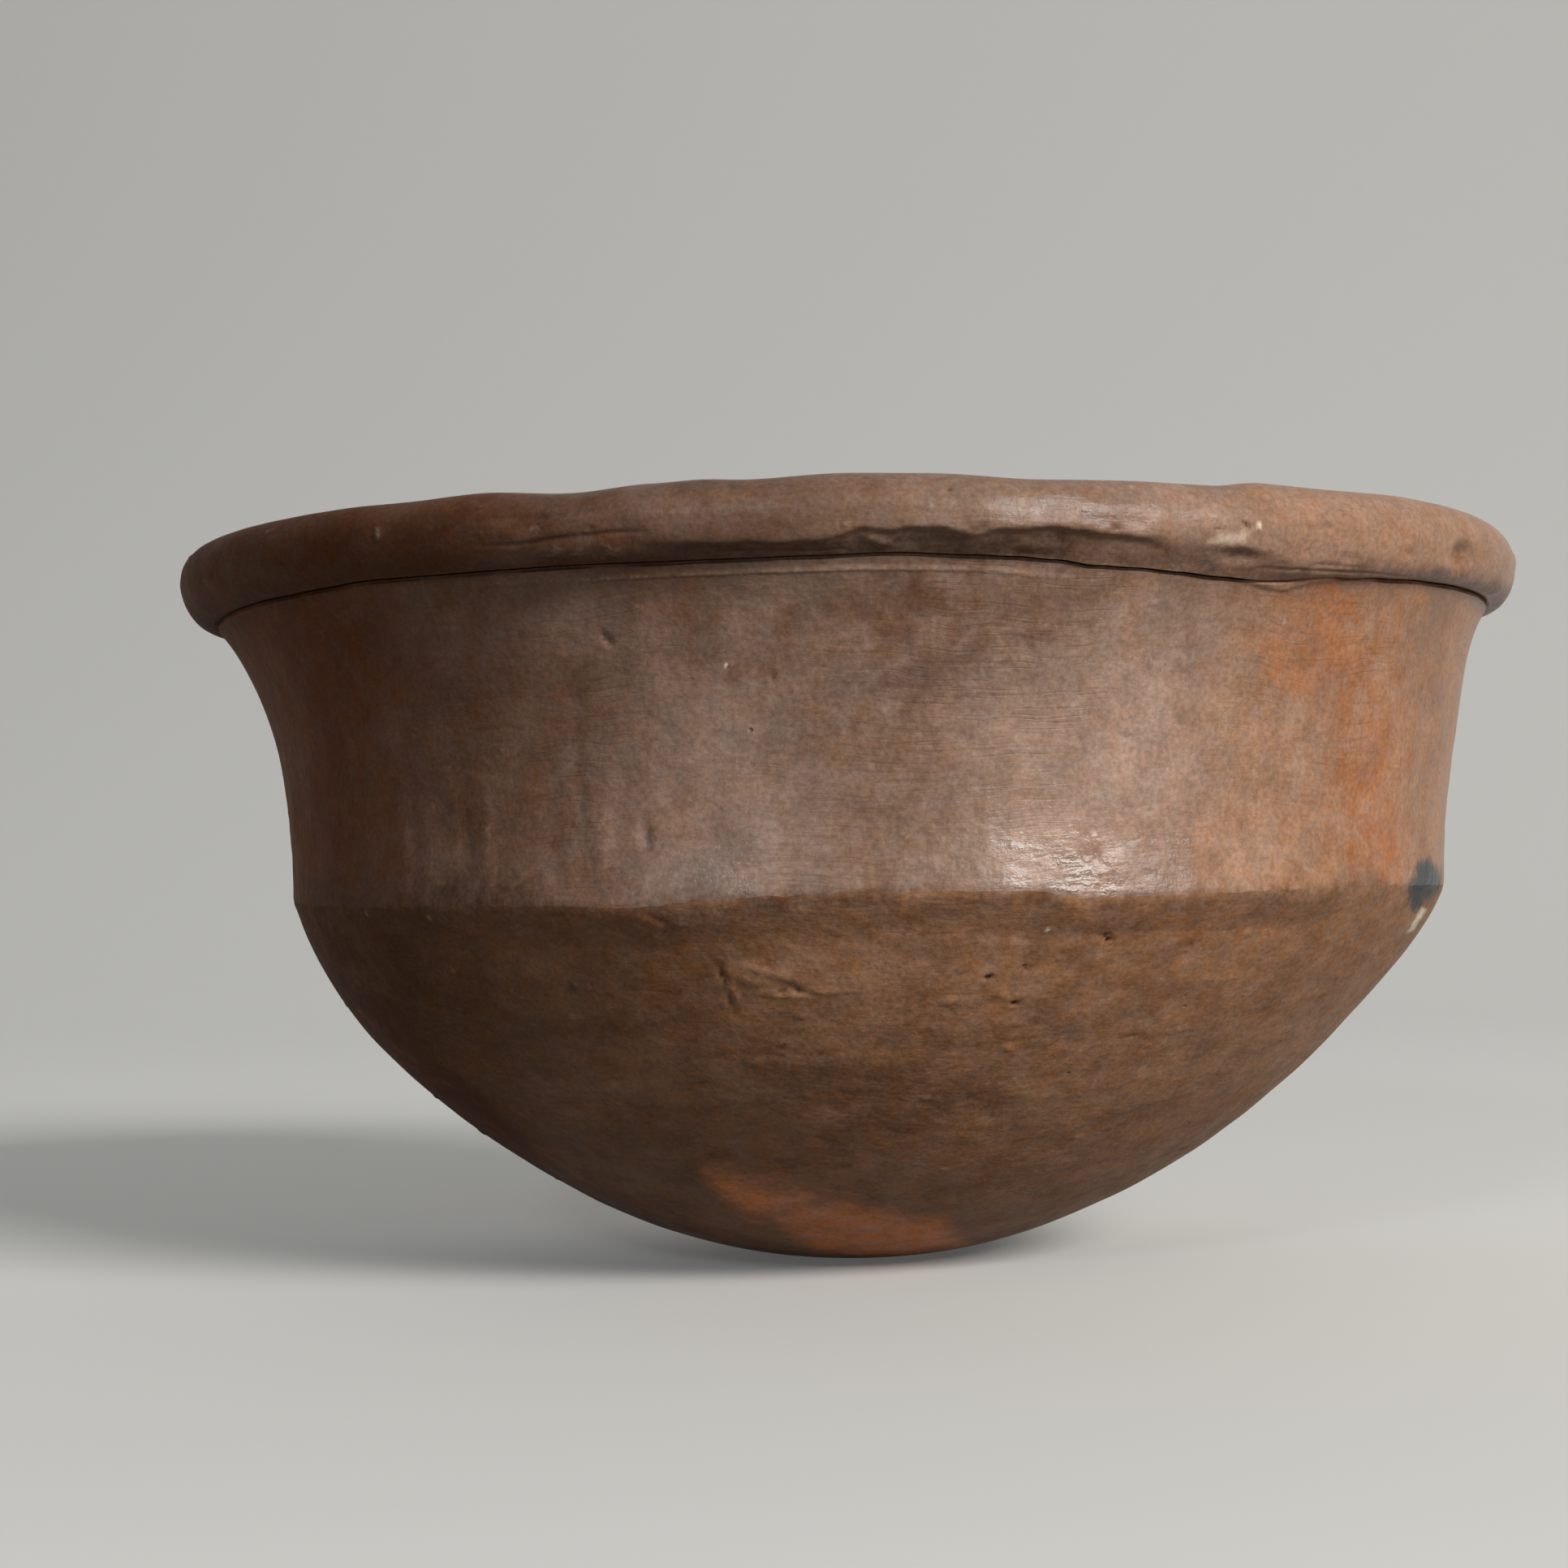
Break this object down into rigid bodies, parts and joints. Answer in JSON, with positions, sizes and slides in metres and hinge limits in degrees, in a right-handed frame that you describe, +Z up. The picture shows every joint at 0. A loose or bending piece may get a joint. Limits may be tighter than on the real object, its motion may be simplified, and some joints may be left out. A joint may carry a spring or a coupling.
{
  "type": "carinated bowl",
  "caption": "Round-based earthenware bowl with a concave flaring wall, a sharp carination and a thick rolled rim, for serving or storing food.",
  "frame": {"origin": "middle of the small resting flat under the round base", "axes": "+Z up along the bowl's axis, towards the rim; the pictured front faces -Y, with +X to its right"},
  "size_m": [0.28, 0.28, 0.1497],
  "materials": {
    "base_clay": "burnished, smoke-mottled",
    "wall_clay": "burnished, satin",
    "rim_clay": "hand-smoothed, satin"
  },
  "bodies": {
    "root": {"round_base": "base_clay", "flared_wall": "wall_clay", "rolled_rim": "rim_clay"}
  },
  "joints": []
}
